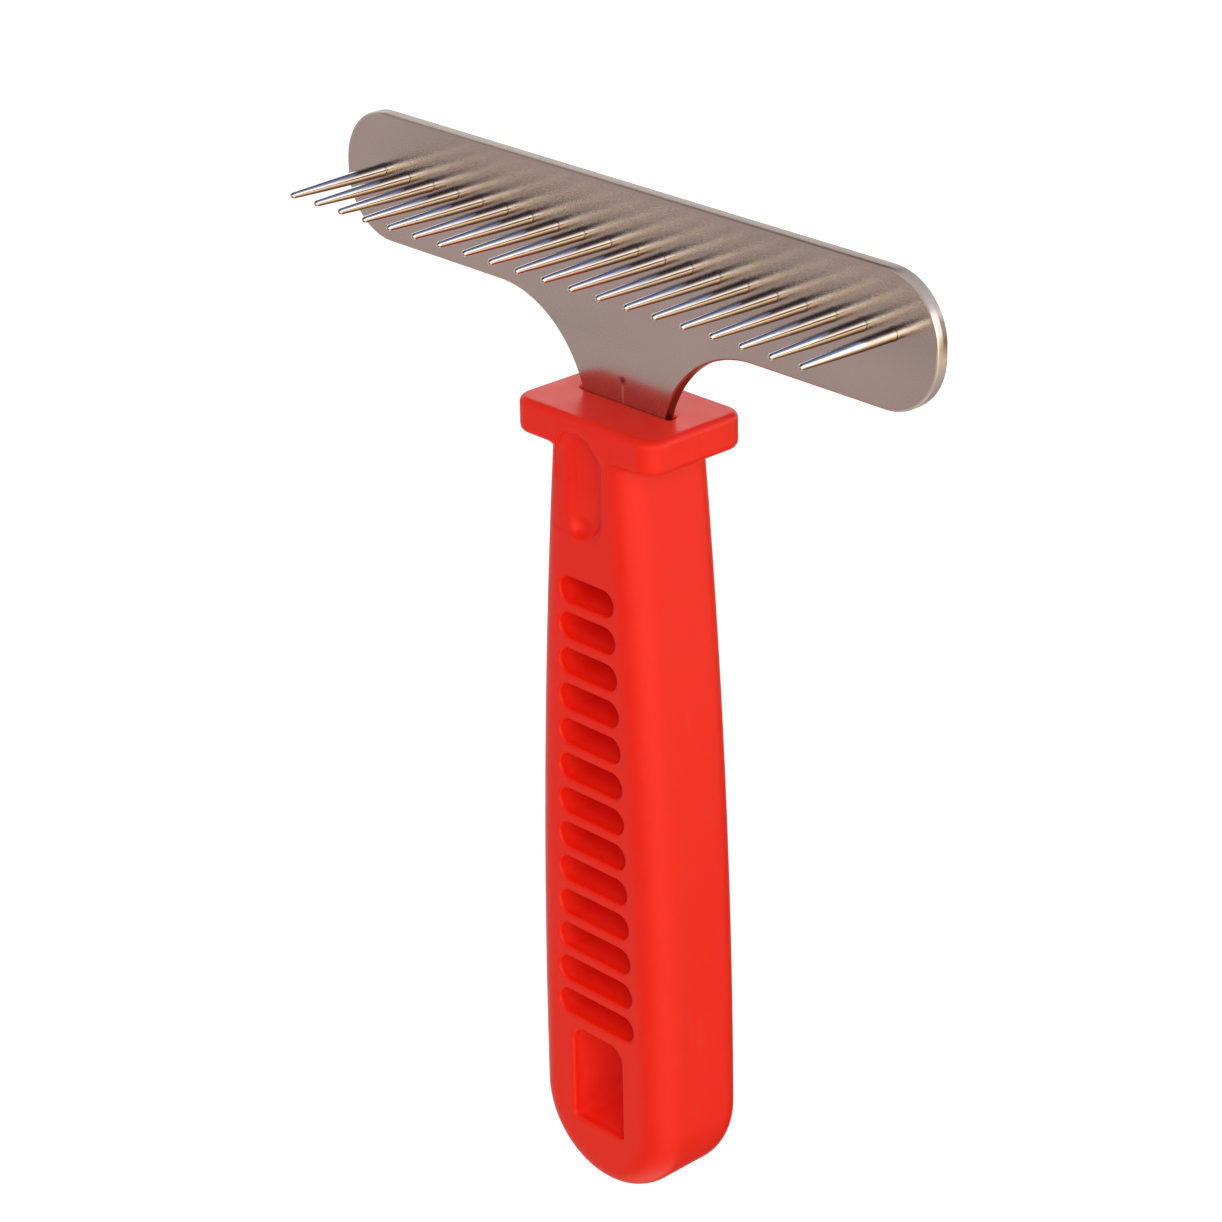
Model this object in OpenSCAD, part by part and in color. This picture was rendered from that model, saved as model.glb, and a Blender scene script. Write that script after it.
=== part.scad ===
// Undercoat rake: a T-shaped sheet steel head with one row of tapered pins, moulded into a
// one-piece plastic handle with a guard, finger-grip pockets and a hang hole.
// Millimetres. +Z runs up the handle to the head, +X along the head, and the pins point to -Y.
// The origin is the middle of the hang hole, on the mid-plane of the head plate.

/* [Head plate] */
// Length of the head, end to end
head_w = 110; // [106:1:130]
// Height of the head
head_h = 18.4; // [18:0.2:24]
// Thickness of the steel plate
plate_t = 1.8; // [1.2:0.1:2.4]
// Corner radius at both ends of the head
head_end_r = 8.5; // [3:0.5:8.5]
// Gap between the guard and the lower edge of the head
head_gap = 11.6; // [8:0.2:20]
// Width of the neck where it is narrowest
neck_w = 14; // [10:0.5:14.5]
// Radius of the sweep from the neck out to the head
neck_sweep_r = 16.7; // [12:0.1:20]
// Depth of the tang below the top of the guard
tang_depth = 21; // [14:0.5:21]

/* [Pins] */
// Number of pins in the row
pin_count = 20; // [6:1:20]
// Distance from one pin to the next
pin_pitch = 5; // [4:0.1:5.2]
// Free length of a pin in front of the plate
pin_l = 16; // [10:0.5:20]
// Diameter of a pin at its root
pin_d = 1.9; // [1.4:0.1:2.4]
// Diameter of the rounded pin tip
pin_tip_d = 0.9; // [0.6:0.1:1.2]
// Height of the pin row above the lower edge of the head
pin_row_h = 10.1; // [8:0.1:11]

/* [Guard] */
// Width of the guard, side to side
guard_w = 26.8; // [26:0.2:34]
// Depth of the guard, front to back
guard_d = 17.6; // [17.4:0.2:22]
// Thickness of the guard
guard_t = 5; // [4:0.2:8]
// Corner radius of the guard, seen from above
guard_r = 3; // [2:0.5:5]

/* [Grip] */
// Length of the handle from the top of the guard to its rounded end
handle_l = 117.5; // [115:0.5:125]
// Width of the grip just under the guard
grip_top_w = 15.6; // [15:0.2:18]
// Width of the grip at its widest, near the end
grip_end_w = 25.8; // [24:0.2:30]
// Depth of the grip, front to back
grip_d = 16.8; // [16:0.2:17.2]
// Radius of the grip's long edges
grip_edge_r = 4.5; // [3:0.5:5]

/* [Pockets and hang hole] */
// Number of cross pockets on each face
pocket_count = 13; // [1:1:13]
// Distance from one pocket to the next
pocket_pitch = 5.33; // [5:0.01:5.4]
// Height of a pocket
pocket_h = 3.8; // [3:0.1:4]
// Length of the first pocket, next to the guard
pocket_first_l = 10.3; // [9:0.1:11]
// Length of the last pocket, next to the hang hole
pocket_last_l = 14.8; // [12:0.1:15]
// Depth of a pocket
pocket_depth = 6.4; // [2:0.2:6.4]
// Width of the hang hole
hole_w = 9.8; // [6:0.2:10]
// Height of the hang hole
hole_h = 14.6; // [10:0.2:15]

/* [Hidden] */
// Distance from the middle of the hang hole to the rounded end of the handle
hole_from_end = 17;
// Height of the top of the guard, and of the lower edge of the head, above the hang hole
guard_top_z = handle_l - hole_from_end;
head_z = guard_top_z + head_gap;
// Centre height of the two arcs that sweep the neck into the head
sweep_z = head_z - neck_sweep_r;
tang_z = guard_top_z - tang_depth;
// The tang inside the handle is narrower than the neck, so plastic closes over its shoulders
tang_w = neck_w - 4;
// Hole through the tang that the moulded plastic fills, which locks the head in the handle
lock_hole_r = 2.4;
lock_hole_z = guard_top_z - 12.5;
// Locating dimple that the press leaves in the front of the neck
dimple_r = 0.6;
dimple_depth = 0.4;
dimple_z = guard_top_z + 3.2;

// Pin details: the collar at the root, the closed rivet head behind the plate
collar_d = pin_d + 0.3;
collar_h = 0.35;
rivet_d = 3;
rivet_h = 0.5;
pin_z = head_z + pin_row_h;
taper_steps = 8;
taper_power = 1.5;
tip_steps = 4;

// Guard edge rounding, and the open ends of the moulded slot beside the neck
guard_edge_r = 1;
slot_w = 18.4;
slot_depth = 2.5;

// The grip grows wider down to the hang hole, and ends in a half circle
grip_end_r = grip_end_w / 2;
grip_end_z = grip_end_r - hole_from_end;
grip_steps = 7;
end_steps = 8;

// Thumb channel on the front, from the lower rim of the guard down the grip
channel_w = 6;
channel_depth = 1.8;
channel_top = 2.9;
channel_bottom = 17.4;

// Cross pockets, counted down from the one next to the guard
pocket_first_z = guard_top_z - 25.4;
hole_corner_r = 1.6;
cut = 1;
fine = 64;
hull_fn = 32;

function pin_name(n) = str("pin_", n < 10 ? "0" : "", n);

// Half width of the grip at share s of the way from the guard to its widest point
function grip_half_w(s) = (grip_top_w + (grip_end_w - grip_top_w) * (1 - pow(1 - s, 2))) / 2;

// Points of an arc around [x, y], from angle a0 to a1
function arc(x, y, r, a0, a1, steps) =
    [for (k = [0:steps]) let (a = a0 + (a1 - a0) * k / steps) [x + r * cos(a), y + r * sin(a)]];

// Radius of a pin at share s of the way from its root to the tip
function pin_r(s) = (pin_tip_d + (pin_d - pin_tip_d) * (1 - pow(s, taper_power))) / 2;

module rounded_rect(w, h, r) {
    square([w - 2 * r, h], center = true);
    square([w, h - 2 * r], center = true);
    for (x = [-1, 1], y = [-1, 1])
        translate([x * (w / 2 - r), y * (h / 2 - r)]) circle(r = r, $fn = fine);
}

// Outline with a straight middle and half-round ends, w across in all
module obround(w, h) {
    square([w - h, h], center = true);
    for (x = [-1, 1])
        translate([x * (w - h) / 2, 0]) circle(d = h, $fn = fine);
}

// A 2D outline drawn in X and Z, thick in Y, between y0 and y1
module slab(y0, y1) {
    translate([0, y1, 0]) rotate([90, 0, 0]) linear_extrude(y1 - y0) children();
}

// Head, neck and tang in one outline
module plate_outline() {
    sweep_x = neck_w / 2 + neck_sweep_r;
    translate([0, head_z + head_h / 2]) rounded_rect(head_w, head_h, head_end_r);
    difference() {
        translate([-sweep_x, sweep_z]) square([2 * sweep_x, neck_sweep_r + cut]);
        for (x = [-1, 1])
            translate([x * sweep_x, sweep_z]) circle(r = neck_sweep_r, $fn = fine);
    }
    translate([-tang_w / 2, tang_z]) square([tang_w, sweep_z - tang_z + cut]);
}

// The steel plate before its pin holes are drilled
module plate() {
    slab(-plate_t / 2, plate_t / 2) difference() {
        plate_outline();
        translate([0, lock_hole_z]) circle(r = lock_hole_r, $fn = fine);
    }
}

// Places its children on the axis of pin n, with +Z along the pin from the plate's mid-plane
module at_pin(n) {
    translate([(n - (pin_count + 1) / 2) * pin_pitch, 0, pin_z]) rotate([90, 0, 0]) children();
}

module blade() {
    color("silver") difference() {
        plate();
        for (n = [1:pin_count])
            at_pin(n) cylinder(h = 2 * plate_t, d = pin_d, center = true, $fn = fine);
        translate([0, -plate_t / 2 - cut, dimple_z]) rotate([-90, 0, 0])
            cylinder(h = cut + dimple_depth, r1 = dimple_r * (1 + cut / dimple_depth), r2 = 0,
                $fn = fine);
    }
}

// Shank in the plate, closed rivet head behind it, collar, and a taper to a rounded tip
module pin(n) {
    front = plate_t / 2;
    tip_r = pin_tip_d / 2;
    taper_l = pin_l - tip_r;
    profile = concat(
        [[0, -front - rivet_h], [rivet_d / 4, -front - rivet_h * 0.8], [rivet_d / 2, -front]],
        [[pin_d / 2, -front], [pin_d / 2, front], [collar_d / 2, front]],
        [[collar_d / 2, front + collar_h / 2], [pin_r(0), front + collar_h]],
        [for (k = [1:taper_steps]) let (s = k / taper_steps) [pin_r(s), front + s * taper_l]],
        [for (k = [1:tip_steps]) let (a = 90 * k / tip_steps)
            [k == tip_steps ? 0 : tip_r * cos(a), front + taper_l + tip_r * sin(a)]]
    );
    color("lightsteelblue") at_pin(n) rotate_extrude($fn = fine) polygon(profile);
}

// Ball whose widest points lie exactly r from its middle, for the grip's rounded edges
module ball(r) {
    rotate_extrude($fn = hull_fn) polygon(arc(0, 0, r, -90, 90, hull_fn / 2));
}

// Grip: balls along the sides and round the end, in front and behind, wrapped into one body
module grip() {
    r = grip_edge_r;
    side = [for (k = [0:grip_steps]) let (s = k / grip_steps)
        [grip_half_w(s) - r, guard_top_z * (1 - s)]];
    end = arc(0, grip_end_z, grip_end_r - r, 0, -90, end_steps);
    top = guard_top_z - guard_edge_r - r;
    hull() for (p = concat(side, end), x = [-1, 1], y = [-1, 1])
        translate([x * p[0], y * (grip_d / 2 - r), min(p[1], top)]) ball(r);
}

// Guard: a slab with rounded corners and softened rims
module guard() {
    r = guard_r;
    e = guard_edge_r;
    rim = concat([[0, 0]], arc(r - e, e, e, -90, 0, 4), arc(r - e, guard_t - e, e, 0, 90, 4),
        [[0, guard_t]]);
    hull() for (x = [-1, 1], y = [-1, 1])
        translate([x * (guard_w / 2 - r), y * (guard_d / 2 - r), guard_top_z - guard_t])
            rotate_extrude($fn = hull_fn) polygon(rim);
}

// Cross pockets from one face, side -1 at the front and 1 at the back
module pockets(side) {
    floor_y = grip_d / 2 - pocket_depth;
    for (k = [0:pocket_count - 1]) {
        l = pocket_first_l + (pocket_last_l - pocket_first_l) * k / max(1, pocket_count - 1);
        y = [side * floor_y, side * guard_d];
        slab(min(y), max(y))
            translate([0, pocket_first_z - k * pocket_pitch]) obround(l, pocket_h);
    }
}

// Upright round-ended channel in the front face, which notches the rim of the guard
module channel() {
    middle = guard_top_z - (channel_top + channel_bottom) / 2;
    slab(-guard_d, -grip_d / 2 + channel_depth) translate([0, middle]) rotate(90)
        obround(channel_bottom - channel_top, channel_w);
}

module hang_hole() {
    slab(-guard_d, guard_d) rounded_rect(hole_w, hole_h, hole_corner_r);
}

module handle() {
    color("red") difference() {
        union() {
            grip();
            guard();
        }
        plate();
        slab(-plate_t / 2, plate_t / 2) translate([-slot_w / 2, guard_top_z - slot_depth])
            square([slot_w, slot_depth + cut]);
        channel();
        pockets(-1);
        pockets(1);
        hang_hole();
    }
}

blade();
handle();
for (n = [1:pin_count])
    pin(n);
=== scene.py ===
import math

import bmesh
import bpy
import numpy as np
from mathutils import Matrix, Vector


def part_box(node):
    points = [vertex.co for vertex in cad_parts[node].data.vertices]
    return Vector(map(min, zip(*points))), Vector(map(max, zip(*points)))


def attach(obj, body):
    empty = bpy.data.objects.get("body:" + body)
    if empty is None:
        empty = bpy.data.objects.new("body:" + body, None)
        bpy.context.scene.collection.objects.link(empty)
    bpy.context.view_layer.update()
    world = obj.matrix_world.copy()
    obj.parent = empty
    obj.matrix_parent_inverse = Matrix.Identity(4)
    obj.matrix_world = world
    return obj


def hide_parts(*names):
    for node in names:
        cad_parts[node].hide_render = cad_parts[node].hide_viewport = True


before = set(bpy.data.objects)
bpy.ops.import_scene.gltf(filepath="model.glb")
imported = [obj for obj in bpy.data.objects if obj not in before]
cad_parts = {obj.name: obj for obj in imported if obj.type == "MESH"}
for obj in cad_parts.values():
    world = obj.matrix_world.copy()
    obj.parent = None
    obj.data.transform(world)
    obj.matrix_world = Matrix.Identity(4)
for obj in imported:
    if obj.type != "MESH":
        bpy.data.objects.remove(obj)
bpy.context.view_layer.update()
MM = 0.001

# ---------------------------------------------------------------- sizes in mm, as in the CAD
handle_lo, handle_hi = [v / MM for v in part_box("handle")]
blade_lo, blade_hi = [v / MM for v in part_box("blade")]
PINS = sorted(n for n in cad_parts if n.startswith("pin_"))

PLATE_T = blade_hi.y - blade_lo.y
HEAD_W = blade_hi.x - blade_lo.x
HEAD_TOP = blade_hi.z
HEAD_H = 18.4
HEAD_Z = HEAD_TOP - HEAD_H
END_R = 8.5
NECK_HALF, SWEEP_R = 7.0, 16.7

GUARD_TOP = handle_hi.z
GUARD_HALF_W = handle_hi.x
GUARD_HALF_D = handle_hi.y
GUARD_T, GUARD_R, GUARD_EDGE = 5.0, 3.0, 1.0

GRIP_TOP_HALF, GRIP_END_HALF, GRIP_HALF_D, GRIP_EDGE = 7.8, 12.9, 8.4, 4.5
END_Z = handle_lo.z + GRIP_END_HALF

CHANNEL_TOP, CHANNEL_FOOT = GUARD_TOP - 2.9, GUARD_TOP - 16.8
CHANNEL_X, CHANNEL_HALF_W, CHANNEL_DEPTH = -0.4, 2.8, 1.2
STEP_X, STEP_HALF_W, STEP_DEPTH = -2.4, 5.6, 0.35
ARCH_X, ARCH_HALF_W = -1.2, 4.4
PIT_X, PIT_R = -1.1, 1.15
POCKET_FIRST, POCKET_PITCH, POCKET_COUNT = GUARD_TOP - 25.4, 5.33, 13
POCKET_SHORT, POCKET_LONG, POCKET_HALF_H, POCKET_DEPTH = 10.3, 14.8, 1.9, 6.4
HOLE_HALF_W, HOLE_HALF_H = 4.9, 7.3
SLOT_HALF_W, SLOT_DEPTH = 8.5, 1.2

PIN_ROOT_D, PIN_TIP_D = 1.9, 0.9
PRESS_MARK_Z = GUARD_TOP + 3.2
POLISHED_Z = HEAD_TOP - 6.5


def add_object(name, data):
    obj = bpy.data.objects.new(name, data)
    bpy.context.scene.collection.objects.link(obj)
    return obj


def add_mesh(name, bm):
    mesh = bpy.data.meshes.new(name)
    bm.to_mesh(mesh)
    bm.free()
    return add_object(name, mesh)


# ---------------------------------------------------------------- handle: a distance field, meshed
def smooth_max(a, b, k):
    h = np.maximum(k - np.abs(a - b), 0) / k
    return np.maximum(a, b) + h * h * k / 4


def smooth_min(a, b, k):
    return -smooth_max(-a, -b, k)


def rounded(a, b, r):
    """Where two half spaces meet, with the edge between them rounded off to r."""
    qa, qb = a + r, b + r
    outer = np.sqrt(np.maximum(qa, 0) ** 2 + np.maximum(qb, 0) ** 2)
    return np.minimum(np.maximum(qa, qb), 0) + outer - r


def plan_box(x, y, hx, hy, r):
    """A rectangle of half sizes hx and hy, with its corners rounded off to r."""
    return rounded(np.abs(x) - hx, np.abs(y) - hy, r)


def capsule(x, z, half_x, half_z):
    """Straight bar with half-round ends, along x, or along z if that is longer; half_x may vary."""
    r = half_z if np.ndim(half_x) else min(half_x, half_z)
    dx = np.maximum(np.abs(x) - (half_x - r), 0)
    dz = np.maximum(np.abs(z) - (half_z - r), 0)
    return np.sqrt(dx * dx + dz * dz) - r


def handle_field(x, y, z):
    """Signed distance to the handle's surface, in mm, below zero inside."""
    # grip
    s = np.clip(1 - z / GUARD_TOP, 0, 1)
    half = GRIP_TOP_HALF + (GRIP_END_HALF - GRIP_TOP_HALF) * (1 - (1 - s) ** 2)
    slope = 2 * (GRIP_END_HALF - GRIP_TOP_HALF) * (1 - s) / GUARD_TOP
    side = (np.abs(x) - half) / np.sqrt(1 + slope * slope)
    end = np.sqrt(x * x + (z - END_Z) ** 2) - GRIP_END_HALF
    outline = np.where(z > END_Z, side, end)
    grip = rounded(outline, np.abs(y) - GRIP_HALF_D, GRIP_EDGE)
    grip = np.maximum(grip, z - (GUARD_TOP - 2))
    # guard
    plan = plan_box(x, y, GUARD_HALF_W, GUARD_HALF_D, GUARD_R)
    middle = GUARD_TOP - GUARD_T / 2
    guard = rounded(plan, np.abs(z - middle) - GUARD_T / 2, GUARD_EDGE)
    d = smooth_min(grip, guard, 1.0)
    # thumb channel: a shallow outer step, arched at the top, with a rounded channel in it
    cz, hz = (CHANNEL_TOP + CHANNEL_FOOT) / 2, (CHANNEL_TOP - CHANNEL_FOOT) / 2
    below_face = y + GRIP_HALF_D
    channel_floor = CHANNEL_DEPTH + 0.2 * (x - CHANNEL_X)
    channel = capsule(x - CHANNEL_X, z - cz, CHANNEL_HALF_W, hz)
    channel = rounded(channel, below_face - channel_floor, 1.3)
    arch = capsule(x - ARCH_X, z - cz, ARCH_HALF_W, hz + 0.5)
    arch = rounded(arch, below_face - STEP_DEPTH, 0.28)
    step_floor = STEP_DEPTH * np.clip((x + 3) / 6.2, 0, 1)
    outer = plan_box(x - STEP_X, z - cz, STEP_HALF_W, hz, 2.4)
    outer = rounded(outer, below_face - step_floor, 0.28)
    d = smooth_max(d, -np.where(z > cz, arch, outer), 0.6)
    d = smooth_max(d, -channel, 0.9)
    # round pit at its foot
    pit = (x - PIT_X) ** 2 + (below_face - 0.3) ** 2 + (z - CHANNEL_FOOT - 0.9) ** 2
    pit = np.sqrt(pit) - PIT_R
    d = smooth_max(d, -pit, 0.7)
    # cross pockets, the same on both faces, with a slight draft
    k = np.clip(np.round((POCKET_FIRST - z) / POCKET_PITCH), 0, POCKET_COUNT - 1)
    half_l = (POCKET_SHORT + (POCKET_LONG - POCKET_SHORT) * k / (POCKET_COUNT - 1)) / 2
    depth = GRIP_HALF_D - np.abs(y)
    pocket = capsule(x, z - (POCKET_FIRST - k * POCKET_PITCH), half_l, POCKET_HALF_H)
    pocket = rounded(pocket + 0.02 * np.maximum(depth, 0), depth - POCKET_DEPTH, 0.7)
    d = smooth_max(d, -pocket, 0.55)
    # hang hole, rounder at its top corners, its lower corners sharpest at the mouth
    corner = np.where(z > 0, 2.3, 0.6 + 1.0 * np.clip(depth / 4, 0, 1))
    hole = plan_box(x, z, HOLE_HALF_W, HOLE_HALF_H, corner)
    d = smooth_max(d, -hole, 0.7)
    # open ends of the slot beside the neck
    slot = plan_box(x, y, SLOT_HALF_W, PLATE_T / 2 - 0.3, 0.3)
    slot = np.maximum(slot, GUARD_TOP - SLOT_DEPTH - z)
    return smooth_max(d, -slot, 0.7)


def surface_net(field, lo, hi, step):
    """Quads over the zero surface of a field: one point for each cell it crosses, pulled on to it."""
    axes = [np.arange(a, b + step, step) for a, b in zip(lo, hi)]
    gx, gy, gz = np.meshgrid(*axes, indexing="ij")
    f = field(gx, gy, gz)
    inside = f < 0
    corners = [(i, j, k) for i in (0, 1) for j in (0, 1) for k in (0, 1)]

    def at_corner(values, corner):
        """The values at one corner of every cell."""
        return values[tuple(slice(c, n - 1 + c) for c, n in zip(corner, values.shape))]

    filled = sum(at_corner(inside, c).astype(np.int8) for c in corners)
    active = (filled > 0) & (filled < 8)
    index = np.full(active.shape, -1, np.int64)
    index[active] = np.arange(active.sum())
    at = np.argwhere(active)
    # a cell's point is the mean of the places where the surface crosses its edges
    total = np.zeros((len(at), 3))
    hits = np.zeros(len(at))
    for a in corners:
        for axis in range(3):
            if a[axis]:
                continue
            b = list(a)
            b[axis] = 1
            fa = f[tuple((at + a).T)]
            fb = f[tuple((at + b).T)]
            cross = (fa < 0) != (fb < 0)
            t = np.where(cross, fa / np.where(cross, fa - fb, 1), 0)
            p = np.tile(np.array(a, float), (len(at), 1))
            p[:, axis] = t
            total += p * cross[:, None]
            hits += cross
    points = np.array(lo) + (at + total / hits[:, None]) * step
    # each grid edge that the surface crosses gives a quad between the four cells round it
    quads = []
    for axis in range(3):
        u, v = (axis + 1) % 3, (axis + 2) % 3
        a = [slice(None)] * 3
        b = [slice(None)] * 3
        a[axis], b[axis] = slice(0, -1), slice(1, None)
        for other in (u, v):
            a[other] = b[other] = slice(1, -1)
        fa, fb = inside[tuple(a)], inside[tuple(b)]
        e = np.argwhere(fa != fb)
        flip = fb[tuple(e.T)]
        e[:, u] += 1
        e[:, v] += 1
        ring = []
        for du, dv in ((0, 0), (1, 0), (1, 1), (0, 1)):
            c = e.copy()
            c[:, u] -= du
            c[:, v] -= dv
            ring.append(index[tuple(c.T)])
        ring = np.array(ring).T
        ring[flip] = ring[flip][:, ::-1]
        quads.append(ring)
    quads = np.concatenate(quads)
    a, b, c = (points[quads[:, i]] for i in (0, 1, 3))
    facing = np.cross(b - a, c - a)
    outward = gradient(field, (a + b + c) / 3)
    if (facing * outward).sum() < 0:
        quads = quads[:, ::-1]
    return points, quads


def gradient(field, p, e=0.02):
    """Slope of the field at each point, by central differences of half width e."""
    g = np.empty_like(p)
    for axis in range(3):
        a, b = p.copy(), p.copy()
        a[:, axis] += e
        b[:, axis] -= e
        g[:, axis] = (field(*a.T) - field(*b.T)) / (2 * e)
    return g


def on_surface(field, p, limit, rounds=4):
    """Points pulled on to the zero surface, none by more than limit along an axis."""
    start = p.copy()
    for _ in range(rounds):
        g = gradient(field, p)
        size = np.maximum((g * g).sum(1), 0.25)
        p = p - g * (field(*p.T) / size)[:, None]
        p = np.clip(p, start - limit, start + limit)
    return p


def mesh_object(name, points, faces):
    mesh = bpy.data.meshes.new(name)
    mesh.from_pydata([tuple(p) for p in points * MM], [], [tuple(f) for f in faces.tolist()])
    mesh.shade_smooth()
    return add_object(name, mesh)


def bake_modifiers(obj):
    """Replaces the mesh by its evaluated copy and drops the modifiers."""
    dg = bpy.context.evaluated_depsgraph_get()
    mesh = bpy.data.meshes.new_from_object(obj.evaluated_get(dg))
    obj.modifiers.clear()
    old = obj.data
    obj.data = mesh
    bpy.data.meshes.remove(old)


GRID = 0.3  # step of the grid that the field is read on
MARGIN = 0.65  # room left round the handle
KEEP_FACES = 0.62  # share of the faces that thinning keeps


def build_handle():
    """The field's surface as a mesh, thinned."""
    box = tuple(handle_lo), tuple(handle_hi)
    lo, hi = [v - MARGIN for v in handle_lo], [v + MARGIN for v in handle_hi]
    points, quads = surface_net(handle_field, lo, hi, GRID)
    points = np.clip(on_surface(handle_field, points, GRID * 0.6), *box)
    obj = mesh_object("handle_moulding", points, quads)
    thin = obj.modifiers.new("thin", "DECIMATE")
    thin.ratio = KEEP_FACES
    bake_modifiers(obj)
    # thinning moves points off the surface, so they are pulled back and take the field's normals
    co = np.empty(len(obj.data.vertices) * 3)
    obj.data.vertices.foreach_get("co", co)
    co = co.reshape(-1, 3) / MM
    co = np.clip(on_surface(handle_field, co, 0.05, 2), *box)
    obj.data.vertices.foreach_set("co", (co * MM).ravel())
    normal = gradient(handle_field, co, 0.06)
    normal /= np.linalg.norm(normal, axis=1)[:, None]
    obj.data.shade_smooth()
    obj.data.normals_split_custom_set_from_vertices(normal.tolist())
    return obj


handle = build_handle()


# ---------------------------------------------------------------- head plate
def arc(cx, cz, r, a0, a1, n):
    """Points on a circle from angle a0 to a1, in degrees, in n steps."""
    return [
        (cx + r * math.cos(math.radians(a0 + (a1 - a0) * i / n)),
         cz + r * math.sin(math.radians(a0 + (a1 - a0) * i / n)))
        for i in range(n + 1)
    ]


def plate_outline():
    """Head, sweeps and neck in one loop, anticlockwise seen from the front."""
    hw, sx, sz = HEAD_W / 2, NECK_HALF + SWEEP_R, HEAD_Z - SWEEP_R
    tail = GUARD_TOP - 8  # ends inside the handle
    loop = [(-NECK_HALF, tail), (NECK_HALF, tail)]
    loop += arc(sx, sz, SWEEP_R, 180, 90, 40)
    loop += arc(hw - END_R, HEAD_Z + END_R, END_R, -90, 0, 28)
    loop += arc(hw - END_R, HEAD_TOP - END_R, END_R, 0, 90, 28)
    loop += arc(-hw + END_R, HEAD_TOP - END_R, END_R, 90, 180, 28)
    loop += arc(-hw + END_R, HEAD_Z + END_R, END_R, 180, 270, 28)
    loop += arc(-sx, sz, SWEEP_R, 90, 0, 40)
    return loop


def build_plate():
    """A stamped plate: rolled-over rim on the front, a finer break at the back. Slot 1 is the rim."""
    loop = np.array(plate_outline())
    nxt, prv = np.roll(loop, -1, 0), np.roll(loop, 1, 0)
    tangent = nxt - prv
    tangent /= np.linalg.norm(tangent, axis=1)[:, None]
    inward = np.stack([-tangent[:, 1], tangent[:, 0]], 1)
    h = PLATE_T / 2
    front_r, back_r = 0.32, 0.22
    profile = [(front_r + 0.3, -h)]
    profile += [(front_r - front_r * math.sin(math.radians(a)),
                 -h + front_r - front_r * math.cos(math.radians(a))) for a in range(0, 91, 18)]
    profile += [(0, -0.15), (0, 0.15)]
    profile += [(back_r - back_r * math.cos(math.radians(a)),
                 h - back_r + back_r * math.sin(math.radians(a))) for a in range(0, 91, 18)]
    bm = bmesh.new()
    rings = []
    for inset, y in profile:
        ring = loop + inward * inset
        rings.append([bm.verts.new((p[0] * MM, y * MM, p[1] * MM)) for p in ring])
    n = len(loop)
    for i, (a, b) in enumerate(zip(rings, rings[1:])):
        for j in range(n):
            k = (j + 1) % n
            face = bm.faces.new((a[j], b[j], b[k], a[k]))
            face.material_index = 0 if i == 0 else 1
            face.smooth = True
    for ring, flip in ((rings[0], False), (rings[-1], True)):
        face = bm.faces.new(ring if not flip else ring[::-1])
        face.material_index = 0
    bmesh.ops.recalc_face_normals(bm, faces=bm.faces)
    bmesh.ops.triangulate(bm, faces=[f for f in bm.faces if len(f.verts) > 4])
    return add_mesh("head_plate", bm)


plate = build_plate()


# ---------------------------------------------------------------- pins
PIN_SIDES = 40


def pin_profile(front, root_d, tip_d, length):
    """Radius and distance out from the plate's mid-plane, from the rivet head to the tip."""
    tip = tip_d / 2
    out = [(0, -front - 0.32), (0.35, -front - 0.34), (0.55, -front - 0.47), (0.8, -front - 0.5)]
    out += [(1.15, -front - 0.44), (1.38, -front - 0.26), (1.5, -front - 0.04), (1.5, -front + 0.05)]
    out += [(0.9, -front + 0.1), (0.9, front - 0.1)]
    out += [(0.995, front - 0.02), (0.99, front + 0.3), (0.955, front + 0.6)]
    straight = length - tip
    for k in range(1, 29):
        s = k / 28
        if s * straight > 0.7:
            r = (tip_d + (root_d - tip_d) * (1 - s**1.5)) / 2
            out.append((r, front + s * straight))
    for a in range(12, 91, 13):
        c, e = math.cos(math.radians(a)), math.sin(math.radians(a))
        out.append((tip * c, front + straight + tip * e))
    return out[:-1] + [(0, front + length)]


def build_pin(node):
    """One pin turned about its axis, placed on its CAD box."""
    lo, hi = [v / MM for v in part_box(node)]
    cx, cz = (lo.x + hi.x) / 2, (lo.z + hi.z) / 2
    front = PLATE_T / 2
    profile = pin_profile(front, PIN_ROOT_D, PIN_TIP_D, -lo.y - front)
    bm = bmesh.new()
    rings = []
    for r, d in profile:
        sides = PIN_SIDES if r > 0 else 1
        turns = [2 * math.pi * i / PIN_SIDES for i in range(sides)]
        rings.append([
            bm.verts.new(((cx + r * math.cos(t)) * MM, -d * MM, (cz + r * math.sin(t)) * MM))
            for t in turns
        ])
    for a, b in zip(rings, rings[1:]):
        for i in range(PIN_SIDES):
            j = (i + 1) % PIN_SIDES
            if len(a) == 1:
                bm.faces.new((a[0], b[j], b[i]))
            elif len(b) == 1:
                bm.faces.new((a[i], a[j], b[0]))
            else:
                bm.faces.new((a[i], a[j], b[j], b[i]))
    bmesh.ops.recalc_face_normals(bm, faces=bm.faces)
    for f in bm.faces:
        f.smooth = True
    return add_mesh("comb_" + node, bm)


comb = {node: build_pin(node) for node in PINS}


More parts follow.
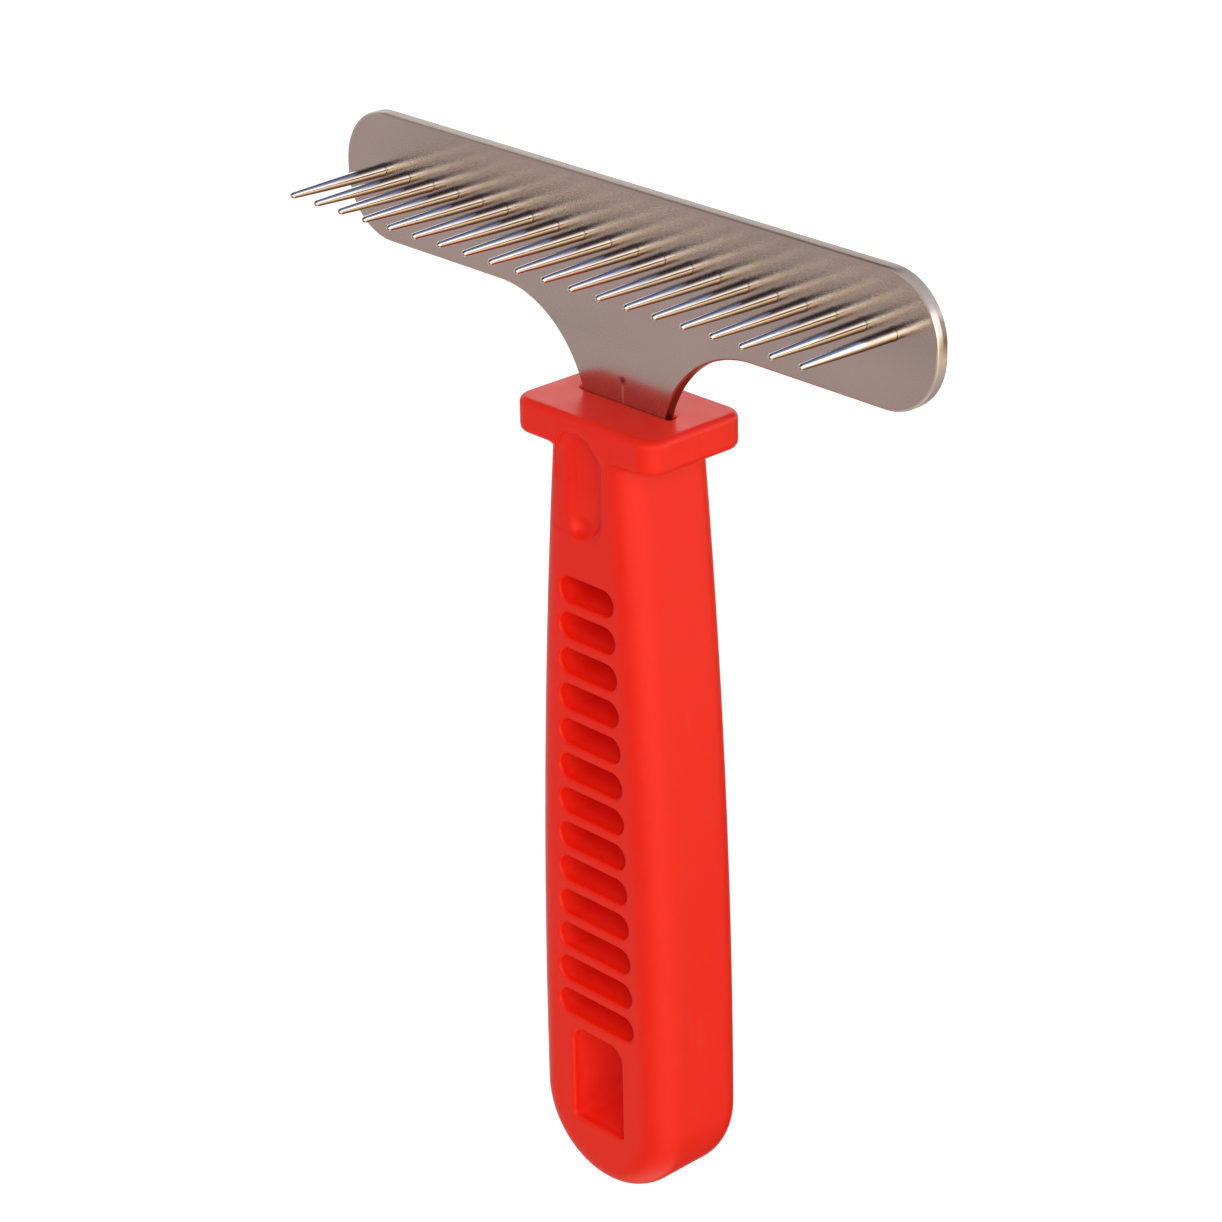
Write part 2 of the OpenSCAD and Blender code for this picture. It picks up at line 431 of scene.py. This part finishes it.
# ---------------------------------------------------------------- materials
class Nodes:
    """Shorthand for wiring one material's nodes."""

    def __init__(self, name):
        self.mat = bpy.data.materials.new(name)
        self.mat.use_nodes = True
        self.tree = self.mat.node_tree
        self.bsdf = self.tree.nodes["Principled BSDF"]
        self.coords = self.new("ShaderNodeTexCoord").outputs["Object"]

    def new(self, kind, **values):
        node = self.tree.nodes.new(kind)
        for key, value in values.items():
            setattr(node, key, value)
        return node

    def put(self, socket, value):
        if isinstance(value, bpy.types.NodeSocket):
            self.tree.links.new(value, socket)
        else:
            socket.default_value = value

    def noise(self, scale, detail, stretch=(1, 1, 1)):
        m = self.new("ShaderNodeMapping")
        self.put(m.inputs["Vector"], self.coords)
        self.put(m.inputs["Scale"], stretch)
        n = self.new("ShaderNodeTexNoise")
        self.put(n.inputs["Vector"], m.outputs["Vector"])
        self.put(n.inputs["Scale"], scale)
        self.put(n.inputs["Detail"], detail)
        self.put(n.inputs["Roughness"], 0.5)
        return n.outputs["Fac"]

    def remap(self, value, a, b, c, d):
        """a..b taken to c..d, held at the ends."""
        m = self.new("ShaderNodeMapRange")
        self.put(m.inputs["Value"], value)
        for key, v in (("From Min", a), ("From Max", b), ("To Min", c), ("To Max", d)):
            self.put(m.inputs[key], v)
        return m.outputs["Result"]

    def math(self, op, a, b=0.0):
        m = self.new("ShaderNodeMath", operation=op)
        self.put(m.inputs[0], a)
        self.put(m.inputs[1], b)
        return m.outputs[0]

    def absolute(self, a):
        return self.math("ABSOLUTE", a)

    def plus(self, a, b):
        return self.math("ADD", a, b)

    def minus(self, a, b):
        return self.math("SUBTRACT", a, b)

    def times(self, a, b):
        return self.math("MULTIPLY", a, b)

    def mix(self, fac, a, b):
        m = self.new("ShaderNodeMix", data_type="RGBA")
        self.put(m.inputs[0], fac)
        self.put(m.inputs[6], a)
        self.put(m.inputs[7], b)
        return m.outputs[2]

    def bump(self, height, strength, distance, normal=None):
        b = self.new("ShaderNodeBump")
        self.put(b.inputs["Height"], height)
        self.put(b.inputs["Strength"], strength)
        self.put(b.inputs["Distance"], distance)
        if normal is not None:
            self.put(b.inputs["Normal"], normal)
        return b.outputs["Normal"]

    def axis(self, name):
        """Object coordinate in metres."""
        s = self.new("ShaderNodeSeparateXYZ")
        self.put(s.inputs[0], self.coords)
        return s.outputs[name]

    def along(self, name, a, b, c, d):
        """The object coordinate from a to b, in mm, taken to c..d."""
        return self.remap(self.axis(name), a * MM, b * MM, c, d)

    def apart(self, name, a, b, c, d):
        """The distance from the object's mid-plane, from a to b in mm, taken to c..d."""
        return self.remap(self.absolute(self.axis(name)), a * MM, b * MM, c, d)


def rgb(r, g, b):
    return (r, g, b, 1.0)


def head_steel():
    """Satin nickel-grey face with a fine frosted grain, faint smears and one small press mark; shade
    is painted above the pins and in the mark.
    """
    n = Nodes("satin_head_steel")
    broad = n.noise(28, 3)
    smear = n.noise(90, 4, (0.35, 1, 1.6))
    grain = n.noise(900, 2, (0.12, 1, 1))
    fine = n.noise(2600, 2)
    frost = n.noise(9000, 1)
    colour = n.mix(n.remap(broad, 0.35, 0.65, 0, 1), rgb(0.57, 0.525, 0.5), rgb(0.63, 0.575, 0.545))
    colour = n.mix(n.remap(smear, 0.5, 0.8, 0, 0.3), colour, rgb(0.47, 0.42, 0.39))
    # painted shade: the band above the pins is a little darker, but not at the left end
    shade = n.along("Z", HEAD_TOP - 13.5, HEAD_TOP - 8.5, 0, 0.16)
    shade = n.times(shade, n.along("X", 5 - HEAD_W / 2, 25 - HEAD_W / 2, 0, 1))
    colour = n.mix(shade, colour, rgb(0.2, 0.17, 0.17))
    rough = n.plus(n.remap(smear, 0.3, 0.7, 0.1, 0.14), n.remap(frost, 0.3, 0.7, 0, 0.17))
    normal = n.bump(fine, 0.12, 0.00004)
    normal = n.bump(grain, 0.16, 0.00005, normal)
    normal = n.bump(n.noise(55, 2), 0.35, 0.0002, normal)
    # press mark on the front of the neck, with painted shade in its dent and a drag line below it
    front = n.along("Y", -0.5, -0.1, 1, 0)
    up = n.minus(n.axis("Z"), PRESS_MARK_Z * MM)
    away = n.plus(n.times(n.axis("X"), n.axis("X")), n.times(up, up))
    away = n.math("SQRT", away)
    dent_and_shade = n.times(front, n.remap(away, 0.0002, 0.0007, 1, 0))
    normal = n.bump(dent_and_shade, 0.2, -0.0001, normal)
    # painted shade: the dent's middle is coloured dark
    colour = n.mix(n.times(dent_and_shade, 0.85), colour, rgb(0.16, 0.09, 0.08))
    drag = n.apart("X", 0.08, 0.22, 1, 0)
    drag = n.times(drag, n.remap(up, -0.0009, -0.0006, 1, 0))
    drag = n.times(drag, front)
    colour = n.mix(n.times(drag, 0.2), colour, rgb(0.85, 0.8, 0.78))
    rough = n.plus(rough, n.times(drag, 0.25))
    n.put(n.bsdf.inputs["Base Color"], colour)
    n.put(n.bsdf.inputs["Metallic"], 1.0)
    n.put(n.bsdf.inputs["Roughness"], rough)
    n.put(n.bsdf.inputs["Normal"], normal)
    return n.mat


def rim_steel():
    """Sheared and rolled edge with draw lines across it, worn smoother at the two rounded ends, where
    a highlight and shade are painted on.
    """
    n = Nodes("rolled_rim_steel")
    wear = n.noise(300, 4)
    lines = n.noise(1500, 2, (1, 0.08, 1))
    colour = n.mix(n.remap(wear, 0.35, 0.7, 0, 1), rgb(0.2, 0.168, 0.148), rgb(0.27, 0.232, 0.208))
    # painted highlight on the rim's front half and painted shade on its back half, at the two rounded
    # ends, which are also smoother
    ends = n.apart("X", HEAD_W / 2 - 7.5, HEAD_W / 2 - 2.5, 0, 1)
    back_half = n.along("Y", -0.1, 0.1, 0, 1)
    end_highlight_and_shade = n.mix(back_half, rgb(0.42, 0.4, 0.4), rgb(0.15, 0.125, 0.125))
    colour = n.mix(ends, colour, end_highlight_and_shade)
    # the rolled front edge is as bright as the face
    rolled = n.along("Y", 0.05 - PLATE_T / 2, 0.3 - PLATE_T / 2, 1, 0)
    colour = n.mix(rolled, colour, rgb(0.64, 0.57, 0.53))
    # round the ends only a short stretch stays polished, the rest is scuffed dull
    from_stretch = n.absolute(n.minus(n.axis("Z"), POLISHED_Z * MM))
    scuffed = n.remap(from_stretch, 0.0012, 0.0035, 0, 1)
    scuffed = n.times(scuffed, n.apart("X", HEAD_W / 2 - END_R, HEAD_W / 2 - 6, 0, 1))
    colour = n.mix(scuffed, colour, rgb(0.6, 0.51, 0.47))
    rough = n.minus(n.remap(wear, 0.3, 0.7, 0.26, 0.36), n.times(ends, 0.16))
    n.put(n.bsdf.inputs["Base Color"], colour)
    n.put(n.bsdf.inputs["Metallic"], n.minus(1.0, n.times(scuffed, 0.7)))
    n.put(n.bsdf.inputs["Roughness"], rough)
    n.put(n.bsdf.inputs["Normal"], n.bump(lines, 0.15, 0.00005))
    return n.mat


def pin_steel():
    """Polished turned steel with faint lathe rings and painted contact shade: a darker ring where it
    meets the plate.
    """
    n = Nodes("polished_pin_steel")
    rings = n.noise(2400, 2, (0.02, 1, 0.02))
    polish = n.noise(350, 3)
    colour = n.mix(polish, rgb(0.7, 0.685, 0.67), rgb(0.8, 0.79, 0.78))
    # painted shade: a thin dark ring on the pin just in front of the plate
    seam = n.along("Y", -0.25 - PLATE_T / 2, -0.15 - PLATE_T / 2, 0, 0.3)
    seam = n.times(seam, n.along("Y", -PLATE_T / 2, 0.2 - PLATE_T / 2, 1, 0))
    colour = n.mix(seam, colour, rgb(0.16, 0.1, 0.07))
    n.put(n.bsdf.inputs["Base Color"], colour)
    n.put(n.bsdf.inputs["Metallic"], 1.0)
    n.put(n.bsdf.inputs["Roughness"], n.remap(polish, 0.3, 0.7, 0.07, 0.15))
    normal = n.bump(rings, 0.12, 0.00003)
    n.put(n.bsdf.inputs["Normal"], n.bump(n.noise(500, 2), 0.12, 0.00005, normal))
    return n.mat


def handle_plastic():
    """Semi-gloss moulded red: swirls, fine texture, guard parting line, scuffs, matt pockets with
    painted bounce light.
    """
    n = Nodes("moulded_red_plastic")
    swirl = n.noise(22, 3, (1, 1, 0.35))
    texture = n.noise(1300, 3)
    orange = n.noise(260, 2)
    scuff = n.remap(n.noise(240, 4, (1, 1, 0.2)), 0.64, 0.74, 0, 1)
    low, high = rgb(0.955, 0.013, 0.003), rgb(0.975, 0.018, 0.004)
    colour = n.mix(n.remap(swirl, 0.35, 0.65, 0, 1), low, high)
    colour = n.mix(n.times(scuff, 0.25), colour, rgb(0.95, 0.05, 0.022))
    rough = n.plus(n.remap(orange, 0.3, 0.7, 0.3, 0.38), n.times(scuff, 0.08))
    # the inside of the pockets and the hang hole is matt, and painted a lighter red that stands in
    # for light bouncing inside
    core = n.apart("Y", GRIP_HALF_D - 2.2, GRIP_HALF_D - 0.6, 1, 0)
    core = n.times(core, n.apart("X", POCKET_LONG / 2, POCKET_LONG / 2 + 0.3, 1, 0))
    core = n.times(core, n.along("Z", GUARD_TOP - 12.5, GUARD_TOP - 10.5, 1, 0))
    core = n.times(core, n.along("Z", -HOLE_HALF_H - 1.7, -HOLE_HALF_H - 1.2, 0, 1))
    colour = n.mix(core, colour, rgb(0.99, 0.018, 0.005))
    rough = n.plus(rough, n.times(core, 0.6))
    # parting line, clear on the guard's sides and almost gone on the grip
    seam = n.apart("Y", 0.03, 0.14, 1, 0)
    seam = n.times(seam, n.along("Z", GUARD_TOP - 6.5, GUARD_TOP - 5, 0.08, 1))
    seam = n.times(seam, n.along("Z", GUARD_TOP - 1.3, GUARD_TOP - 0.7, 1, 0))
    normal = n.bump(texture, 0.05, 0.00006)
    normal = n.bump(orange, 0.08, 0.0002, normal)
    normal = n.bump(seam, 0.5, 0.00006, normal)
    n.put(n.bsdf.inputs["Base Color"], colour)
    n.put(n.bsdf.inputs["Roughness"], rough)
    n.put(n.bsdf.inputs["IOR"], 1.32)
    n.put(n.bsdf.inputs["Subsurface Weight"], 0.4)
    n.put(n.bsdf.inputs["Subsurface Radius"], (0.005, 0.0004, 0.0002))
    n.put(n.bsdf.inputs["Subsurface Scale"], 0.6)
    n.put(n.bsdf.inputs["Normal"], normal)
    return n.mat


handle.data.materials.append(handle_plastic())
plate.data.materials.append(head_steel())
plate.data.materials.append(rim_steel())
steel = pin_steel()
for obj in comb.values():
    obj.data.materials.append(steel)

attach(handle, "root")
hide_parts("handle")
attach(plate, "root")
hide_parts("blade")
for node, obj in comb.items():
    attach(obj, "root")
    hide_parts(node)


# ---------------------------------------------------------------- studio, in metres
FLOOR_Z, FLOOR_HALF = -0.3, 6
BACKDROP_R, BACKDROP_H = 5.9, 8
SHELL_R = 3
CENTRE = Vector((0, 0, 0.06))


def stage_object(name, bm, mat):
    """Part of the studio, not of the object."""
    obj = add_mesh(name, bm)
    obj.data.materials.append(mat)
    return obj


def hide_from(obj, *rays):
    for ray in rays:
        setattr(obj, "visible_" + ray, False)


def floor_material():
    n = Nodes("pale_floor")
    n.put(n.bsdf.inputs["Base Color"], rgb(0.92, 0.92, 0.92))
    n.put(n.bsdf.inputs["Roughness"], 0.9)
    n.put(n.bsdf.inputs["Emission Color"], rgb(1, 1, 1))
    n.put(n.bsdf.inputs["Emission Strength"], 0.52)
    return n.mat


def build_floor(mat):
    """A pale floor that lights nothing and lets the lamp below it through."""
    bm = bmesh.new()
    bmesh.ops.create_grid(bm, x_segments=8, y_segments=8, size=FLOOR_HALF)
    bmesh.ops.translate(bm, verts=bm.verts, vec=(0, 0, FLOOR_Z))
    hide_from(stage_object("floor", bm, mat), "diffuse", "glossy", "shadow")


def build_backdrop(mat):
    """A pale wall far round the floor, so a low camera sees no dark horizon. It lights nothing."""
    bm = bmesh.new()
    bmesh.ops.create_cone(
        bm, cap_ends=False, segments=96, radius1=BACKDROP_R, radius2=BACKDROP_R, depth=BACKDROP_H
    )
    wall = stage_object("backdrop", bm, mat)
    hide_from(wall, "diffuse", "glossy", "shadow", "transmission", "volume_scatter")


# What the shiny surfaces mirror, by angle round the pins' axis from +X up to +Z: the studio in
# front of the head (-Y half) and the studio behind it (+Y half)
FRONT_WALL = [
    (-180, (0.52, 0.42, 0.40)), (-158, (0.56, 0.46, 0.44)), (-138, (0.54, 0.43, 0.40)),
    (-118, (0.22, 0.12, 0.08)), (-92, (0.13, 0.05, 0.03)), (-68, (0.16, 0.07, 0.04)),
    (-50, (0.62, 0.38, 0.19)), (-34, (1.3, 0.90, 0.52)), (-12, (2.5, 2.05, 1.5)),
    (10, (3.1, 2.75, 2.3)), (28, (2.5, 2.28, 2.05)), (42, (0.85, 0.78, 0.78)),
    (56, (0.22, 0.19, 0.22)), (74, (0.07, 0.055, 0.065)), (112, (0.045, 0.032, 0.04)),
    (128, (0.2, 0.155, 0.155)), (142, (0.42, 0.34, 0.33)), (160, (0.42, 0.34, 0.32)),
    (180, (0.52, 0.42, 0.40)),
]
BACK_WALL = [
    (-180, (0.5, 0.42, 0.4)), (-165, (0.6, 0.5, 0.47)), (-148, (1.0, 0.8, 0.72)),
    (-130, (0.7, 0.48, 0.4)), (-114, (0.19, 0.085, 0.06)), (-104, (0.13, 0.04, 0.03)),
    (-84, (0.14, 0.05, 0.03)), (-64, (0.22, 0.09, 0.045)), (-48, (0.45, 0.26, 0.12)),
    (-36, (0.72, 0.46, 0.22)),
    (-20, (1.2, 0.9, 0.52)), (0, (2.3, 2.1, 1.85)), (30, (2.4, 2.3, 2.3)),
    (44, (0.95, 0.98, 1.2)), (58, (0.36, 0.40, 0.62)), (84, (0.15, 0.17, 0.29)),
    (112, (0.07, 0.08, 0.13)), (134, (0.20, 0.19, 0.22)), (145, (1.85, 1.76, 1.7)),
    (163, (1.85, 1.76, 1.7)), (172, (0.6, 0.52, 0.5)), (180, (0.5, 0.42, 0.4)),
]
TABLE_GLOW = (1.1, 0.85, 0.75)


def room_material():
    """Colour by direction: the two walls blend near y = 0, and the table is straight below."""
    n = Nodes("room_reflections")
    way = n.new("ShaderNodeVectorMath", operation="NORMALIZE")
    n.put(way.inputs[0], n.coords)
    split = n.new("ShaderNodeSeparateXYZ")
    n.put(split.inputs[0], way.outputs[0])
    turn = n.math("ARCTAN2", split.outputs["Z"], split.outputs["X"])
    around = n.remap(turn, -math.pi, math.pi, 0, 1)
    walls = []
    for stops in (FRONT_WALL, BACK_WALL):
        ramp = n.new("ShaderNodeValToRGB")
        n.put(ramp.inputs["Fac"], around)
        row = ramp.color_ramp.elements
        while len(row) < len(stops):
            row.new(0.5)
        for element, (angle, _) in zip(row, stops):
            element.position = (angle + 180) / 360
        for element, (_, tint) in zip(row, stops):
            element.color = rgb(*tint)
        walls.append(ramp.outputs["Color"])
    side = n.new("ShaderNodeMapRange", interpolation_type="SMOOTHSTEP")
    n.put(side.inputs["Value"], split.outputs["Y"])
    n.put(side.inputs["From Min"], -0.2)
    n.put(side.inputs["From Max"], 0.25)
    table = n.remap(split.outputs["Z"], -0.97, -0.85, 1, 0)
    glow = n.new("ShaderNodeEmission")
    room = n.mix(side.outputs["Result"], walls[0], walls[1])
    n.put(glow.inputs["Color"], n.mix(table, room, rgb(*TABLE_GLOW)))
    n.put(n.tree.nodes["Material Output"].inputs["Surface"], glow.outputs[0])
    return n.mat


def build_room():
    """A shell that only reflections see: the softboxes and dim walls of a small photo studio."""
    bm = bmesh.new()
    bmesh.ops.create_icosphere(bm, subdivisions=5, radius=SHELL_R)
    room = stage_object("studio_shell", bm, room_material())
    room.location = CENTRE
    hide_from(room, "camera", "diffuse", "shadow", "transmission", "volume_scatter")


def softbox(name, azimuth, elevation, distance, size, power, colour):
    """Lights the dull surfaces. The shell shows its reflection, so it casts none of its own."""
    a, e = math.radians(azimuth), math.radians(elevation)
    away = Vector((math.sin(a) * math.cos(e), -math.cos(a) * math.cos(e), math.sin(e)))
    data = bpy.data.lights.new(name, "AREA")
    data.shape = "RECTANGLE"
    data.size, data.size_y = size
    data.energy = power
    data.color = colour
    obj = add_object(name, data)
    obj.location = CENTRE + away * distance
    obj.rotation_mode = "QUATERNION"
    obj.rotation_quaternion = away.to_track_quat("Z", "Y")
    hide_from(obj, "camera", "glossy")


def build_world():
    """Even white light from all round."""
    world = bpy.data.worlds.new("studio")
    world.use_nodes = True
    sky = world.node_tree.nodes["Background"].inputs
    sky["Color"].default_value = rgb(1, 1, 1)
    sky["Strength"].default_value = 0.58
    return world


pale = floor_material()
build_floor(pale)
build_backdrop(pale)
build_room()
softbox("key_softbox", 60, 31, 0.9, (0.5, 0.5), 2.75, (1, 0.99, 0.97))
softbox("table_bounce", 56, -42, 0.9, (0.6, 0.6), 1.35, (1, 0.98, 0.96))

bpy.context.scene.world = build_world()
bpy.context.scene.view_settings.view_transform = "Standard"
bpy.context.scene.view_settings.look = "None"

# ---------------------------------------------------------------- camera, at the photo's angle
AZIMUTH, ELEVATION, ROLL = math.radians(46.74), math.radians(23.687), math.radians(-1.054)
CAMERA_AT = (0.328253, -0.307844, 0.27414)
SENSOR, LENS = 36, 108.12244
SHIFT = (-0.021121113, -0.03537807)


def build_camera():
    """The camera's own axes first: backwards, then right and up, turned by the roll."""
    back = Vector((
        math.sin(AZIMUTH) * math.cos(ELEVATION),
        -math.cos(AZIMUTH) * math.cos(ELEVATION),
        math.sin(ELEVATION),
    ))
    level = Vector((math.cos(AZIMUTH), math.sin(AZIMUTH), 0))
    upright = back.cross(level)
    right = level * math.cos(ROLL) + upright * math.sin(ROLL)
    up = upright * math.cos(ROLL) - level * math.sin(ROLL)
    data = bpy.data.cameras.new("camera")
    data.sensor_width, data.lens = SENSOR, LENS
    data.shift_x, data.shift_y = SHIFT
    data.clip_start, data.clip_end = 0.01, 50
    data.dof.use_dof = False
    obj = add_object("camera", data)
    obj.matrix_world = Matrix((
        (right.x, up.x, back.x, CAMERA_AT[0]),
        (right.y, up.y, back.y, CAMERA_AT[1]),
        (right.z, up.z, back.z, CAMERA_AT[2]),
        (0, 0, 0, 1),
    ))
    return obj


bpy.context.scene.camera = build_camera()
